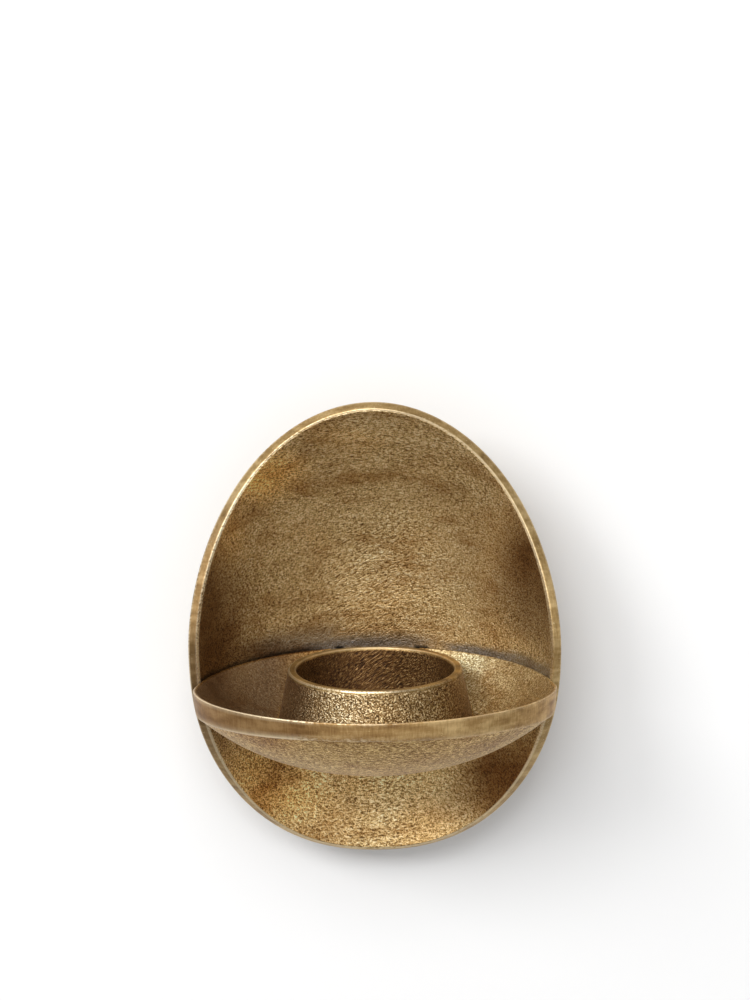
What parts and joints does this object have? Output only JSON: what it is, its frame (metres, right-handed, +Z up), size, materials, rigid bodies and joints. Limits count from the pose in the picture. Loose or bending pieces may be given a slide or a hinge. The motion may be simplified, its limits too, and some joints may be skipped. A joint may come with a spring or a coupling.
{
  "type": "wall tealight holder",
  "caption": "Cast brass wall holder for one tealight: an oval cupped back shell, an oval drip dish and a tapered cup, hung by a keyhole plate.",
  "frame": {"origin": "on the flat rear face of the hanger plate, on the centre line below the keyhole, in the wall's plane", "axes": "+Y into the wall, +Z up, +X to the right seen from the room"},
  "size_m": [0.0958, 0.078, 0.1254],
  "materials": {
    "shell_brass": "sand-cast antique brass with a ground rim",
    "dish_brass": "antique brass, brushed band round the rim",
    "cup_brass": "coarse-cast antique brass",
    "braze": "heat-darkened braze metal",
    "zinc_steel": "zinc-plated",
    "black_rubber": "matt"
  },
  "bodies": {
    "root": {"back_shell": "shell_brass", "drip_dish": "dish_brass", "tealight_cup": "cup_brass", "cup_screw": "zinc_steel", "cup_screw_washer": "zinc_steel", "hanger_plate": "zinc_steel", "braze_bead_left": "braze", "hanger_screw_left": "zinc_steel", "wall_pad_left": "black_rubber", "braze_bead_right": "braze", "hanger_screw_right": "zinc_steel", "wall_pad_right": "black_rubber"}
  },
  "joints": []
}
